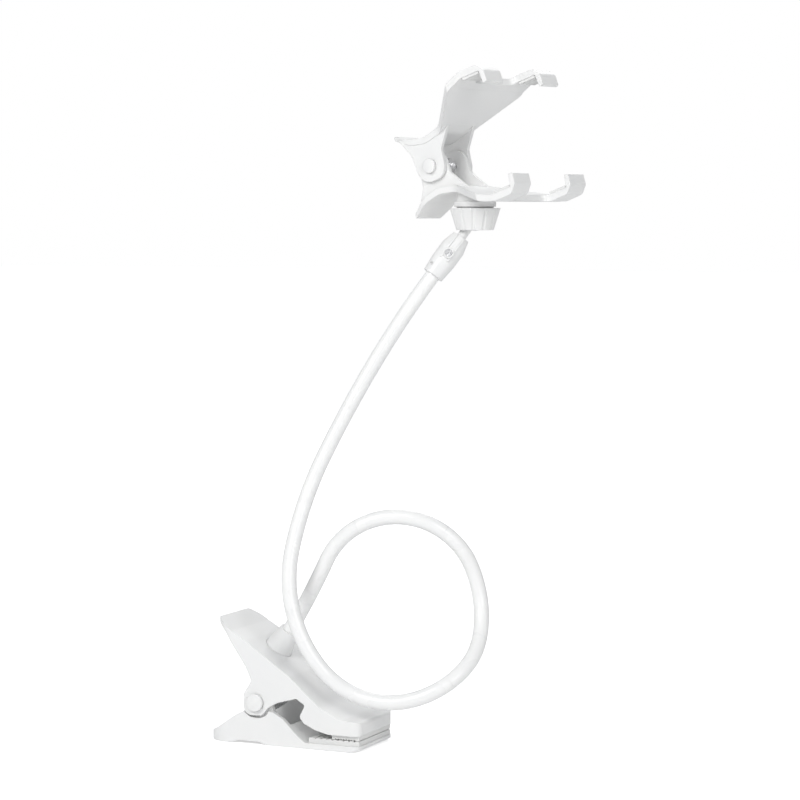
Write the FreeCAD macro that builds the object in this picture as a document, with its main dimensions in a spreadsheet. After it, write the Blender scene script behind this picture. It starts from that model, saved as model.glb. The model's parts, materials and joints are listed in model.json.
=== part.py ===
import FreeCAD, Part
import math
import os
import Sketcher

from FreeCAD import Placement, Rotation, Vector

# A phone stand: a sprung table clamp, a gooseneck with a loop in it, and a sprung phone clip on a ball joint.
# Millimetres, +Z up. The origin is on the table, under the middle of the clamp. +X runs from the clamp's
# handles to its jaws and +Y is to the left of the jaws.

SIZES = {
    # table clamp
    "clamp_length": 100.0,
    "clamp_height": 74.0,
    "clamp_width": 48.0,
    "handle_corner": 14.0,
    "jaw_corner": 5.0,
    "lever_wall": 3.0,
    "clamp_pin_radius": 2.5,
    "clamp_ear_radius": 8.0,
    "clamp_wire_radius": 1.2,
    "clamp_coil_radius": 5.8,
    "clamp_coil_turns": 5,
    "jaw_pad_thickness": 2.8,
    "jaw_pad_width": 43.0,
    # gooseneck
    "neck_radius": 4.5,
    "core_radius": 2.0,
    "neck_joint_gap": 0.3,
    "root_lean": 33.8,
    "root_lift": 6.0,
    "collar_height": 13.0,
    "collar_foot_radius": 8.6,
    "collar_top_radius": 6.0,
    # end sleeve and ball joint
    "end_sleeve_length": 28.0,
    "end_sleeve_radius": 7.3,
    "end_sleeve_facing": 24.5,
    "ball_reach": 42.0,
    "ball_radius": 7.5,
    "stem_radius": 2.8,
    "cup_wall": 1.4,
    "socket_wall": 2.0,
    "nut_height": 13.0,
    "nut_top_radius": 15.0,
    "nut_foot_radius": 11.0,
    # phone clip
    "grip_gap": 67.0,
    "clip_depth": 57.0,
    "clip_lean": 18.5,
    "clip_turn": -11.4,
    "jaw_width": 76.0,
    "finger_width": 17.0,
    "paddle_width": 30.0,
    "clip_wall": 2.5,
    "clip_pin_radius": 2.0,
    "clip_ear_radius": 9.0,
    "clip_wire_radius": 0.8,
    "clip_coil_radius": 4.2,
    "clip_coil_turns": 5,
    "grip_pad_thickness": 1.5,
    # fits
    "running_gap": 0.05,
    "side_gap": 0.3,
}

# The gooseneck as it stands, section by section from the clamp: the length of its middle line, how far it
# bends, and how far the plane of the bend is turned about the neck from that of the section before.
NECK_SECTIONS = [
    (56.0, 8.0, 173.0),
    (57.0, 69.0, -157.0),
    (51.0, 65.0, 9.0),
    (54.0, 72.0, -72.0),
    (56.0, 79.0, 79.0),
    (58.0, 64.0, -58.0),
    (71.0, 49.0, 28.0),
    (59.0, 15.0, -15.0),
    (62.0, 5.0, -5.0),
    (62.0, 6.0, 1.0),
]
for number, (length, bend, turn) in enumerate(NECK_SECTIONS, 1):
    SIZES[f"neck_length_{number:02d}"] = length
    SIZES[f"neck_bend_{number:02d}"] = bend
    SIZES[f"neck_turn_{number:02d}"] = turn

doc = FreeCAD.newDocument("PhoneStand")
sheet = doc.addObject("Spreadsheet::Sheet", "Sizes")
for row, (alias, value) in enumerate(SIZES.items(), 1):
    sheet.set(f"A{row}", alias)
    sheet.set(f"B{row}", str(value))
    sheet.setAlias(f"B{row}", alias)
doc.recompute()


def size(alias):
    """A size, in mm or degrees, as the sheet has it."""
    return float(sheet.get(alias))


def bind(thing, **expressions):
    """Ties properties of a document object to the sheet. An alias may stand alone."""
    for name, expression in expressions.items():
        for alias in sorted(SIZES, key=len, reverse=True):
            expression = expression.replace(f"[{alias}]", f"Sizes.{alias}")
        thing.setExpression(name, expression)
    return thing


# ---------------------------------------------------------------------------
# Frames
# ---------------------------------------------------------------------------

X_AXIS = Vector(1, 0, 0)
Y_AXIS = Vector(0, 1, 0)
Z_AXIS = Vector(0, 0, 1)


def frame(origin, x, y):
    """A placement whose own X and Y lie along x and y."""
    x = Vector(x).normalize()
    z = x.cross(Vector(y)).normalize()
    y = z.cross(x)
    matrix = FreeCAD.Matrix(
        x.x, y.x, z.x, origin.x,
        x.y, y.y, z.y, origin.y,
        x.z, y.z, z.z, origin.z,
        0, 0, 0, 1,
    )
    return Placement(matrix)


def upright(origin, z, near=X_AXIS):
    """A placement whose own Z lies along z, with its X as close to near as it can be."""
    z = Vector(z).normalize()
    x = Vector(near) - z * z.dot(Vector(near))
    x.normalize()
    return frame(origin, x, z.cross(x))


def frame_from_z(origin, z, x):
    """A placement with the given Z and X."""
    return frame(origin, x, Vector(z).cross(Vector(x)))


def turned(vector, axis, degrees):
    """The vector after a turn about an axis."""
    return Rotation(axis, degrees).multVec(vector)


# ---------------------------------------------------------------------------
# Shapes as document objects
# ---------------------------------------------------------------------------


def cylinder(name, radius, height, place):
    """A cylinder from place's origin along its Z. radius and height are expressions."""
    thing = doc.addObject("Part::Cylinder", name)
    bind(thing, Radius=radius, Height=height)
    thing.Placement = place
    return thing


def cone(name, foot, top, height, place):
    """A cone from place's origin along its Z."""
    thing = doc.addObject("Part::Cone", name)
    bind(thing, Radius1=foot, Radius2=top, Height=height)
    thing.Placement = place
    return thing


def ball(name, radius, place, half=False):
    """A sphere about place's origin, or the half of it on the side of its Z."""
    thing = doc.addObject("Part::Sphere", name)
    bind(thing, Radius=radius)
    if half:
        thing.Angle1 = 0
    thing.Placement = place
    return thing


def box(name, length, width, height, place):
    """A box with one corner at place's origin."""
    thing = doc.addObject("Part::Box", name)
    bind(thing, Length=length, Width=width, Height=height)
    thing.Placement = place
    return thing


def arc_tube(name, radius, tube_radius, degrees, place):
    """A piece of a torus that starts at (radius, 0, 0) of place and turns about its Z."""
    thing = doc.addObject("Part::Torus", name)
    bind(thing, Radius1=radius, Radius2=tube_radius, Angle3=degrees)
    thing.Placement = place
    return thing


def fuse(name, things):
    """One solid from several."""
    thing = doc.addObject("Part::MultiFuse", name)
    thing.Shapes = things
    thing.Refine = True
    return thing


def cut(name, base, tools):
    """What is left of base without the tools."""
    if len(tools) > 1:
        tool = doc.addObject("Part::MultiFuse", name + "_tools")
        tool.Shapes = tools
    else:
        tool = tools[0]
    thing = doc.addObject("Part::Cut", name)
    thing.Base = base
    thing.Tool = tool
    thing.Refine = True
    return thing


def common(name, base, tool):
    """What base and tool share."""
    thing = doc.addObject("Part::Common", name)
    thing.Base = base
    thing.Tool = tool
    thing.Refine = True
    return thing


def rounded(corners):
    """Lines and arcs round a closed outline of (x, y) or (x, y, corner radius)."""
    points = [Vector(c[0], c[1], 0) for c in corners]
    radii = [c[2] if len(c) > 2 else 0.0 for c in corners]
    count = len(points)
    entries, exits, arcs = [], [], []
    for i, point in enumerate(points):
        before = points[i - 1] - point
        after = points[(i + 1) % count] - point
        half = before.getAngle(after) / 2
        reach = radii[i] / math.tan(half) if radii[i] else 0.0
        reach = min(reach, 0.45 * before.Length, 0.45 * after.Length)
        u, v = Vector(before).normalize(), Vector(after).normalize()
        entries.append(point + u * reach)
        exits.append(point + v * reach)
        if reach > 1e-6 and math.degrees(half) < 89.0:
            radius = reach * math.tan(half)
            middle = (u + v).normalize()
            arcs.append(point + middle * (radius / math.sin(half) - radius))
        else:
            arcs.append(None)
            entries[-1] = exits[-1] = point
    pieces = []
    for i in range(count):
        if arcs[i] is not None:
            pieces.append(Part.Arc(entries[i], arcs[i], exits[i]))
        if (entries[(i + 1) % count] - exits[i]).Length > 1e-6:
            pieces.append(Part.LineSegment(exits[i], entries[(i + 1) % count]))
    return pieces


def symmetric(feature):
    """Makes a pad or a pocket go the same way on both sides of its sketch."""
    if "SideType" in feature.PropertiesList:
        feature.SideType = "Symmetric"
    else:
        feature.Midplane = True


def sketch_in(body, name, plane, corners):
    """A sketch of a closed outline on one of the body's own planes."""
    sketch = body.newObject("Sketcher::SketchObject", name)
    origin = next(o for o in body.Origin.OriginFeatures if o.Role == plane)
    sketch.AttachmentSupport = [(origin, "")]
    sketch.MapMode = "FlatFace"
    for piece in rounded(corners):
        sketch.addGeometry(piece, False)
    return sketch


def pad(body, name, plane, corners, length):
    """Adds an outline's prism to a body, as far on both sides of the plane."""
    feature = body.newObject("PartDesign::Pad", name)
    feature.Profile = sketch_in(body, name + "_outline", plane, corners)
    symmetric(feature)
    bind(feature, Length=length)
    return feature


def pocket(body, name, plane, corners, length):
    """Takes an outline's prism from a body, as far on both sides of the plane."""
    feature = body.newObject("PartDesign::Pocket", name)
    feature.Profile = sketch_in(body, name + "_outline", plane, corners)
    symmetric(feature)
    bind(feature, Length=length)
    return feature


def new_body(name, place=None):
    """An empty body."""
    body = doc.addObject("PartDesign::Body", name)
    body.Placement = place or Placement()
    return body


NODES = {}


def node(name, thing):
    """Names a finished sub-part: its label, its file and its name in the record."""
    thing.Label = name
    NODES[name] = thing
    return thing


# ---------------------------------------------------------------------------
# Table clamp: two levers on a pin, held shut by a coil spring
# ---------------------------------------------------------------------------


def at(x, z, corner=0.0):
    """A point of the clamp's side view, written for a clamp 100 long and 74 high."""
    return (x * size("clamp_length") / 100.0, z * size("clamp_height") / 74.0, corner)


PIVOT = at(-17.0, 25.0)
EAR = size("clamp_ear_radius")
WALL = size("lever_wall")
PAD = size("jaw_pad_thickness")
RUNNING = size("running_gap")
SOLE = at(0, 3.6)[1]
LOWER_PAD_TOP = SOLE + PAD
UPPER_PAD_FOOT = LOWER_PAD_TOP + size("side_gap")
JAW_FOOT = UPPER_PAD_FOOT + PAD
LEAN = math.radians(size("root_lean"))
ROOT_AXIS = Vector(math.sin(LEAN), 0, math.cos(LEAN))
ROOT = Vector(at(-13.7, 0)[0], 0, at(0, 54.2)[1])


def on_slope(x, corner=0.0, under=0.0):
    """A point on the straight part of the upper lever's top, or that far under it."""
    x = at(x, 0)[0]
    z = ROOT.z - (x - ROOT.x) * math.tan(LEAN)
    return (x - under * ROOT_AXIS.x, z - under * ROOT_AXIS.z, corner)


def round_outline(centre, radius):
    """A square whose rounded corners make a circle."""
    x, z = centre[0], centre[1]
    corner = 0.999 * radius
    return [
        (x - radius, z - radius, corner),
        (x + radius, z - radius, corner),
        (x + radius, z + radius, corner),
        (x - radius, z + radius, corner),
    ]


def planform(name, back, front):
    """A tall prism with the outline of a lever from above: round at the handle, less so at the jaw."""
    body = new_body(name)
    half = size("clamp_width") / 2
    handle, jaw = size("handle_corner"), size("jaw_corner")
    outline = [
        (back, -half, handle),
        (front, -half, jaw),
        (front, half, jaw),
        (back, half, handle),
    ]
    pad(body, name + "_block", "XY_Plane", outline, "4 * [clamp_height]")
    return body


# lower lever: sole, side walls, and two ears inside the upper lever's
INNER_WIDTH = "[clamp_width] - 2 * [lever_wall] - 2 * [side_gap]"
EAR_SPACE = "[clamp_width] - 4 * [lever_wall] - 2 * [side_gap]"

lower_body = new_body("lower_lever_body")
lower_outline = [
    at(-50.5, 1.4, 1.0),
    at(-48.0, 0.0, 1.0),
    at(-34.0, 0.0, 6.0),
    at(-28.0, 1.6, 6.0),
    at(-15.0, 1.6, 4.0),
    at(-10.0, 0.0, 3.0),
    at(44.0, 0.0, 4.0),
    at(50.0, 1.6, 0.8),
    (at(50.0, 0)[0], SOLE, 0.3),
    (at(15.0, 0)[0], SOLE, 1.5),
    at(9.0, 8.4, 3.0),
    at(1.0, 16.0, 6.0),
    at(-6.0, 20.0, 2.0),
    at(-24.0, 20.0, 2.0),
    at(-31.0, 16.4, 6.0),
    at(-43.0, 8.2, 5.0),
    at(-51.0, 4.6, 1.5),
]
pad(lower_body, "lower_block", "XZ_Plane", lower_outline, "[clamp_width]")
lower_hollow = [
    at(-40.0, 4.0, 1.0),
    at(-20.0, 4.6, 1.0),
    at(6.0, 5.6, 1.0),
    at(0.0, 30.0),
    at(-40.0, 30.0),
]
pocket(lower_body, "lower_hollow", "XZ_Plane", lower_hollow, INNER_WIDTH)
pocket(lower_body, "ear_relief", "XZ_Plane", round_outline(PIVOT, EAR + 1.4), "[clamp_width] + 2")
lower_ear = [
    (PIVOT[0] - EAR + 1.0, PIVOT[1] + EAR - 1.0, 0.8 * EAR),
    (PIVOT[0] - EAR - 3.0, at(0, 3.0)[1]),
    (PIVOT[0] + EAR + 6.0, at(0, 4.0)[1]),
    (PIVOT[0] + EAR - 1.0, PIVOT[1] + EAR - 1.0, 0.8 * EAR),
]
pad(lower_body, "ear_block", "XZ_Plane", lower_ear, INNER_WIDTH)
ear_hollow = [
    (PIVOT[0] - 2.0 * EAR, at(0, 4.4)[1]),
    (PIVOT[0] + 2.4 * EAR, at(0, 5.2)[1]),
    (PIVOT[0] + 2.4 * EAR, PIVOT[1] + 2.0 * EAR),
    (PIVOT[0] - 2.0 * EAR, PIVOT[1] + 2.0 * EAR),
]
pocket(lower_body, "ear_space", "XZ_Plane", ear_hollow, EAR_SPACE)

# upper lever: one curved plate with side walls, the outer ears and the jaw
upper_body = new_body("upper_lever_body")
upper_outline = [
    at(-46.0, 72.0, 1.2),
    at(-44.0, 74.0, 1.2),
    at(-33.0, 66.4, 16.0),
    on_slope(-24.0, 10.0),
    on_slope(5.0, 20.0),
    at(24.5, 25.0, 25.0),
    at(38.0, 18.6, 20.0),
    at(50.0, 17.6, 2.0),
    (at(50.0, 0)[0], JAW_FOOT, 0.8),
    (at(30.0, 0)[0], JAW_FOOT, 8.0),
    (at(21.5, 0)[0], JAW_FOOT + 2.2, 5.0),
    (at(14.5, 0)[0], JAW_FOOT + 5.4, 1.5),
    at(11.6, 18.4, 2.0),
    at(15.2, 25.6, 1.5),
    at(9.5, 29.0, 1.0),
    (PIVOT[0] + 1.7 * EAR, PIVOT[1] + 0.5, 2.0),
    (PIVOT[0] + 0.95 * EAR, PIVOT[1] - 0.4 * EAR, 1.0),
    (PIVOT[0] + 0.525 * EAR, PIVOT[1] - 0.95 * EAR, 0.44 * EAR),
    (PIVOT[0] - EAR, PIVOT[1] - EAR, 0.95 * EAR),
    (PIVOT[0] - EAR, PIVOT[1] + 0.6 * EAR, 3.0),
    at(-20.0, 37.5, 3.0),
    at(-24.0, 46.0, 15.0),
    at(-38.0, 66.0, 10.0),
]
pad(upper_body, "upper_block", "XZ_Plane", upper_outline, "[clamp_width]")
upper_hollow = [
    at(-41.5, 68.5, 1.0),
    at(-33.5, 63.0, 10.0),
    on_slope(-24.0, 3.0, WALL),
    on_slope(5.0, 3.0, WALL),
    at(12.0, 32.5, 2.0),
    at(8.6, 28.4),
    (PIVOT[0] + 1.2 * EAR, PIVOT[1] - 1.2 * EAR),
    (PIVOT[0] - 2.0 * EAR, PIVOT[1] - 1.6 * EAR),
    at(-62.0, 60.0),
]
pocket(upper_body, "upper_hollow", "XZ_Plane", upper_hollow, "[clamp_width] - 2 * [lever_wall]")

# where the gooseneck's collar stands on the upper lever
collar_place = upright(ROOT - ROOT_AXIS * 1.0, ROOT_AXIS)
collar_seat = cylinder("collar_seat", "[collar_foot_radius]", "1 + [root_lift]", collar_place)
root_screw_hole = cylinder(
    "root_screw_hole", "1.5", "20", upright(ROOT - ROOT_AXIS * 10.0, ROOT_AXIS)
)


def across(point, half_width):
    """A placement at the -Y end of a pin along Y through a point of the side view."""
    return frame(Vector(point[0], -half_width, point[1]), X_AXIS, -Z_AXIS)


CLAMP_HALF = size("clamp_width") / 2
upper_pin_hole = cylinder(
    "upper_pin_hole",
    "[clamp_pin_radius] + [running_gap]",
    "[clamp_width] + 2",
    across(PIVOT, CLAMP_HALF + 1),
)
lower_pin_hole = cylinder(
    "lower_pin_hole", "[clamp_pin_radius]", "[clamp_width] + 2", across(PIVOT, CLAMP_HALF + 1)
)
node(
    "lower_lever",
    cut(
        "lower_lever",
        common("lower_lever_solid", lower_body, planform("lower_planform", at(-51, 0)[0], at(50, 0)[0])),
        [lower_pin_hole],
    ),
)
node(
    "upper_lever",
    cut(
        "upper_lever",
        common("upper_lever_solid", upper_body, planform("upper_planform", at(-46, 0)[0], at(50, 0)[0])),
        [upper_pin_hole, collar_seat, root_screw_hole],
    ),
)

# pin with a flat head on one side and a snap cap on the other
pin = cylinder("clamp_pin_shank", "[clamp_pin_radius]", "[clamp_width] + 2.4", across(PIVOT, CLAMP_HALF))
pin_head = cylinder(
    "clamp_pin_head", "1.8 * [clamp_pin_radius]", "1.2", across(PIVOT, CLAMP_HALF + 0.1 + 1.2)
)
pin_neck = cylinder("clamp_pin_neck", "[clamp_pin_radius]", "1", across(PIVOT, CLAMP_HALF + 0.5))
node("clamp_pin", fuse("clamp_pin", [pin, pin_neck, pin_head]))
cap_body = cylinder(
    "clamp_cap_body", "1.8 * [clamp_pin_radius]", "1.8", across(PIVOT, -CLAMP_HALF - 0.1)
)
cap_tool = cylinder(
    "clamp_cap_tool", "[clamp_pin_radius]", "[clamp_width] + 2.4", across(PIVOT, CLAMP_HALF)
)
node("clamp_pin_cap", cut("clamp_pin_cap", cap_body, [cap_tool]))

# rubber pads with ribs across the jaws
def ribbed_pad(name, outline, rib_z, start, stop):
    """A pad with V grooves from start to stop at height rib_z."""
    body = new_body(name + "_body")
    pad(body, name + "_block", "XZ_Plane", outline, "[jaw_pad_width]")
    count = 8
    for i in range(count):
        x = start + (stop - start) * i / (count - 1)
        groove = [(x - 0.8, rib_z - 0.02), (x, rib_z - 0.7), (x + 0.8, rib_z - 0.02), (x, rib_z + 0.7)]
        pocket(body, f"{name}_groove_{i + 1}", "XZ_Plane", groove, "[jaw_pad_width] + 2")
    return body


lower_pad_outline = [
    (at(16.5, 0)[0], SOLE),
    (at(49.0, 0)[0], SOLE),
    (at(49.0, 0)[0], LOWER_PAD_TOP, 0.6),
    (at(16.5, 0)[0], LOWER_PAD_TOP, 0.6),
]
node(
    "lower_jaw_pad",
    ribbed_pad("lower_jaw_pad", lower_pad_outline, LOWER_PAD_TOP, at(21, 0)[0], at(46, 0)[0]),
)
upper_pad_outline = [
    (at(49.0, 0)[0], JAW_FOOT),
    (at(31.5, 0)[0], JAW_FOOT),
    (at(31.5, 0)[0], UPPER_PAD_FOOT, 0.6),
    (at(49.0, 0)[0], UPPER_PAD_FOOT, 0.6),
]
node(
    "upper_jaw_pad",
    ribbed_pad("upper_jaw_pad", upper_pad_outline, UPPER_PAD_FOOT, at(34, 0)[0], at(46, 0)[0]),
)


def torsion_spring(name, wire, coil, turns, place, last_bend, first_leg, last_leg):
    """A coil from half circles, with a straight leg at each end. wire and coil are aliases.

    The coil's axis is place's Z. Its first leg lies along place's -Y and its last leg is turned
    90 + last_bend degrees from place's X.
    """
    wire_radius, coil_radius = size(wire), size(coil)
    pitch = 2 * wire_radius + 0.1
    pieces = []
    leg_place = Placement(Vector(coil_radius, -first_leg, 0), Rotation(Z_AXIS, Y_AXIS))
    pieces.append(cylinder(f"{name}_first_leg", f"[{wire}]", str(first_leg), place * leg_place))
    span = math.hypot(2 * coil_radius, pitch / 2)
    for half in range(2 * turns):
        side = 1 if half % 2 == 0 else -1
        x = Vector(side * 2 * coil_radius, 0, -pitch / 2)
        arc_place = frame(Vector(0, 0, pitch / 4 + half * pitch / 2), x, Vector(0, side, 0))
        pieces.append(
            arc_tube(f"{name}_half_{half + 1}", str(span / 2), f"[{wire}]", "180", place * arc_place)
        )
    top = turns * pitch
    pieces.append(
        arc_tube(
            f"{name}_last_arc",
            f"[{coil}]",
            f"[{wire}]",
            str(last_bend),
            place * Placement(Vector(0, 0, top), Rotation()),
        )
    )
    end = turned(Vector(coil_radius, 0, 0), Z_AXIS, last_bend)
    way = turned(Y_AXIS, Z_AXIS, last_bend)
    last_place = Placement(end + Vector(0, 0, top), Rotation(Z_AXIS, way))
    pieces.append(cylinder(f"{name}_last_leg", f"[{wire}]", str(last_leg), place * last_place))
    return fuse(name, pieces)


def side_direction(degrees):
    """A direction in the side view, from +X towards +Z."""
    return Vector(math.cos(math.radians(degrees)), 0, math.sin(math.radians(degrees)))


def spring_place(centre, first_leg_degrees, half_length):
    """Where a torsion spring goes so that its first leg points first_leg_degrees."""
    y = side_direction(first_leg_degrees + 180)
    x = side_direction(first_leg_degrees + 90)
    return frame(Vector(centre[0], half_length, centre[1]), x, y)


CLAMP_COIL_HALF = size("clamp_coil_turns") * (2 * size("clamp_wire_radius") + 0.1) / 2
node(
    "clamp_spring",
    torsion_spring(
        "clamp_spring",
        "clamp_wire_radius",
        "clamp_coil_radius",
        int(size("clamp_coil_turns")),
        spring_place(PIVOT, 212.0, CLAMP_COIL_HALF),
        90.0,
        at(17, 0)[0],
        at(30, 0)[0],
    ),
)

# ---------------------------------------------------------------------------
# Gooseneck: a wire core in a plastic sleeve, cut into sections that meet in ball ends
# ---------------------------------------------------------------------------

collar = cone(
    "collar_cone",
    "[collar_foot_radius]",
    "[collar_top_radius]",
    "[collar_height] + 1",
    collar_place,
)
collar_bore = cylinder(
    "collar_bore", "[neck_radius]", "2 * [collar_height]", upright(ROOT + ROOT_AXIS, ROOT_AXIS)
)
node("neck_collar", cut("neck_collar", collar, [collar_bore, root_screw_hole]))
root_shank = cylinder(
    "root_screw_shank", "1.5", "[lever_wall] + 1", upright(ROOT - ROOT_AXIS * WALL, ROOT_AXIS)
)
root_head = cylinder(
    "root_screw_head", "3", "1.8", upright(ROOT - ROOT_AXIS * (WALL + 1.8), ROOT_AXIS)
)
node("neck_root_screw", fuse("neck_root_screw", [root_shank, root_head]))

SECTION_COUNT = len(NECK_SECTIONS)
NECK_JOINTS = []


def neck_section(number, place):
    """One section of the gooseneck. place's Z runs along its middle line and Y is the axis of its bend.

    Returns the placement of the next section.
    """
    tag = f"{number:02d}"
    length, bend = size(f"neck_length_{tag}"), size(f"neck_bend_{tag}")
    angle = math.radians(bend)
    radius = length / angle
    # the circle's centre lies along place's X
    origin, rotation = place.Base, place.Rotation
    x, z = rotation.multVec(X_AXIS), rotation.multVec(Z_AXIS)
    arc_place = frame(origin + x * radius, -x, z)
    end_way = turned(z, rotation.multVec(Y_AXIS), bend)
    end_point = origin + z * (radius * math.sin(angle)) + x * (radius * (1 - math.cos(angle)))
    end_place = upright(end_point, end_way)
    arc_radius = f"[neck_length_{tag}] / ([neck_bend_{tag}] * pi / 180)"
    arc_degrees = f"[neck_bend_{tag}]"
    outside = [arc_tube(f"neck_outside_{tag}", arc_radius, "[neck_radius]", arc_degrees, arc_place)]
    inside = [arc_tube(f"neck_inside_{tag}", arc_radius, "[core_radius]", arc_degrees, arc_place)]
    if number == 1:
        foot = upright(ROOT + ROOT_AXIS, ROOT_AXIS)
        outside.append(cylinder("neck_foot_outside", "[neck_radius]", "[root_lift] - 1", foot))
        inside.append(cylinder("neck_foot_inside", "[core_radius]", "[root_lift] - 1", foot))
    if number < SECTION_COUNT:
        outside.append(ball(f"neck_ball_{tag}", "[neck_radius]", end_place, half=True))
        inside.append(ball(f"neck_tip_{tag}", "[core_radius]", end_place, half=True))
    else:
        outside.append(cylinder("neck_head_outside", "[neck_radius]", "8", end_place))
        inside.append(cylinder("neck_head_inside", "[core_radius]", "12", end_place))
    core = fuse(f"neck_core_{tag}_solid", inside)
    sleeve = fuse(f"neck_sleeve_{tag}_solid", outside)
    tools = []
    if number > 1:
        cup = ball(f"neck_cup_{tag}", "[neck_radius] + [neck_joint_gap]", Placement(origin, Rotation()))
        core = cut(f"neck_core_{tag}", core, [cup])
        tools.append(cup)
    tools.append(core)
    sleeve = cut(f"neck_sleeve_{tag}", sleeve, tools)
    node(f"neck_core_{tag}", core)
    node(f"neck_sleeve_{tag}", sleeve)
    if number < SECTION_COUNT:
        x_after = turned(x, rotation.multVec(Y_AXIS), bend)
        x_after = turned(x_after, end_way, size(f"neck_turn_{number + 1:02d}"))
        return frame_from_z(end_point, end_way, x_after)
    return end_place


neck_start = ROOT + ROOT_AXIS * size("root_lift")
# the first bend is towards the jaws, before its own turn about the neck
first_x = turned(Vector(ROOT_AXIS.z, 0, -ROOT_AXIS.x), ROOT_AXIS, size("neck_turn_01"))
place = frame_from_z(neck_start, ROOT_AXIS, first_x)
for number in range(1, SECTION_COUNT + 1):
    NECK_JOINTS.append(place)
    place = neck_section(number, place)
NECK_END = place
END_WAY = NECK_END.Rotation.multVec(Z_AXIS)

# ---------------------------------------------------------------------------
# End sleeve: two half shells round the gooseneck's end and the ball stud's stem
# ---------------------------------------------------------------------------

facing = math.radians(size("end_sleeve_facing"))
sleeve_front = Vector(math.cos(facing), math.sin(facing), 0).cross(END_WAY)
SLEEVE = upright(NECK_END.Base, END_WAY, sleeve_front)


def in_sleeve(x, y, z, way=Z_AXIS):
    """A placement in the end sleeve's frame, with its Z along way."""
    return SLEEVE * upright(Vector(x, y, z), way, Y_AXIS if way == X_AXIS else X_AXIS)


def sleeve_outside(name, extra):
    """The end sleeve's outside, from three cones."""
    middle = 20.0 / 28.0 * size("end_sleeve_length")
    return fuse(
        name,
        [
            cone(
                name + "_foot",
                f"[end_sleeve_radius] - 1 + {extra}",
                f"[end_sleeve_radius] + {extra}",
                "10",
                in_sleeve(0, 0, 0),
            ),
            cylinder(
                name + "_middle",
                f"[end_sleeve_radius] + {extra}",
                f"{middle} - 10",
                in_sleeve(0, 0, 10),
            ),
            cone(
                name + "_head",
                f"[end_sleeve_radius] + {extra}",
                f"[end_sleeve_radius] - 2 + {extra}",
                f"[end_sleeve_length] - {middle}",
                in_sleeve(0, 0, middle),
            ),
        ],
    )


STEM_FLANGE = 19.0
sleeve_bores = [
    cylinder("sleeve_neck_bore", "[neck_radius]", "9", in_sleeve(0, 0, -1)),
    cylinder("sleeve_core_bore", "[core_radius]", "13", in_sleeve(0, 0, -1)),
    cylinder("sleeve_stem_bore", "[stem_radius] + [running_gap]", "20", in_sleeve(0, 0, STEM_FLANGE)),
    cylinder(
        "sleeve_flange_space",
        "[stem_radius] + 1.6 + [running_gap]",
        "3.2",
        in_sleeve(0, 0, STEM_FLANGE - 0.1),
    ),
    cylinder("sleeve_screw_bore", "1.1", "12.3", in_sleeve(-5.5, 0, 15.4, X_AXIS)),
]
sleeve_solid = cut("end_sleeve_solid", sleeve_outside("end_sleeve_outside", 0), sleeve_bores)
rib_shell = sleeve_outside("end_sleeve_rib_shell", 0.5)
rib_boxes = [
    box(f"sleeve_rib_{word}", "6", "1.2", "17", in_sleeve(4.5, y, 10.9))
    for word, y in (("left", -3.1), ("right", 1.9))
]
ribs = common("sleeve_ribs", rib_shell, fuse("sleeve_rib_boxes", rib_boxes))
screw_boss = cylinder("sleeve_screw_boss", "3.2", "4.0", in_sleeve(4.2, 0, 15.4, X_AXIS))
front_half = common(
    "end_sleeve_front_solid", sleeve_solid, box("front_side", "30", "40", "60", in_sleeve(0, -20, -10))
)
back_half = common(
    "end_sleeve_back", sleeve_solid, box("back_side", "30", "40", "60", in_sleeve(-30, -20, -10))
)
front_tools = [
    cylinder("sleeve_head_space", "2.3", "3", in_sleeve(6.8, 0, 15.4, X_AXIS)),
    cylinder("sleeve_small_hole", "0.9", "6", in_sleeve(3.6, -4.6, 5.0, X_AXIS)),
    sleeve_bores[3],
    sleeve_bores[4],
]
front_whole = fuse("end_sleeve_front_whole", [front_half, ribs, screw_boss])
node("end_sleeve_front", cut("end_sleeve_front", front_whole, front_tools))
node("end_sleeve_back", back_half)
sleeve_shank = cylinder("sleeve_screw_shank", "1.1", "12.3", in_sleeve(-5.5, 0, 15.4, X_AXIS))
sleeve_head = cylinder("sleeve_screw_head", "2.3", "1.1", in_sleeve(6.8, 0, 15.4, X_AXIS))
sleeve_slot = box("sleeve_screw_slot", "2", "0.6", "5", in_sleeve(7.4, -0.3, 12.9))
sleeve_screw = fuse("end_sleeve_screw_solid", [sleeve_shank, sleeve_head])
node("end_sleeve_screw", cut("end_sleeve_screw", sleeve_screw, [sleeve_slot]))

# ---------------------------------------------------------------------------
# Ball joint
# ---------------------------------------------------------------------------

BALL = NECK_END.Base + END_WAY * size("ball_reach")
stud = fuse(
    "ball_stud",
    [
        ball("stud_ball", "[ball_radius]", upright(BALL, END_WAY)),
        cylinder("stud_stem", "[stem_radius]", f"[ball_reach] - {STEM_FLANGE}", in_sleeve(0, 0, STEM_FLANGE)),
        cylinder("stud_flange", "[stem_radius] + 1.6", "3", in_sleeve(0, 0, STEM_FLANGE)),
    ],
)
node("ball_stud", stud)

CLIP_TURN = Rotation(Z_AXIS, size("clip_turn")) * Rotation(Y_AXIS, -size("clip_lean"))
DEPTH = size("clip_depth") / 57.0
HALF_GAP = size("grip_gap") / 2


def clip_point(x, z, corner=0.0):
    """A point of the clip's side view, written for a clip 57 deep open to 67."""
    return (x * DEPTH, z * HALF_GAP / 33.5, corner)


BALL_IN_CLIP = Vector(clip_point(-46, 0)[0], 0, clip_point(0, -36)[1])
CLIP = Placement(BALL - CLIP_TURN.multVec(BALL_IN_CLIP), CLIP_TURN)
socket_lean = math.radians(size("clip_lean"))
SOCKET = CLIP * upright(BALL_IN_CLIP, Vector(math.sin(socket_lean), 0, math.cos(socket_lean)))


def in_socket(z):
    """A placement on the socket's axis, that far from the ball's centre towards the clip."""
    return SOCKET * Placement(Vector(0, 0, z), Rotation())


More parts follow.
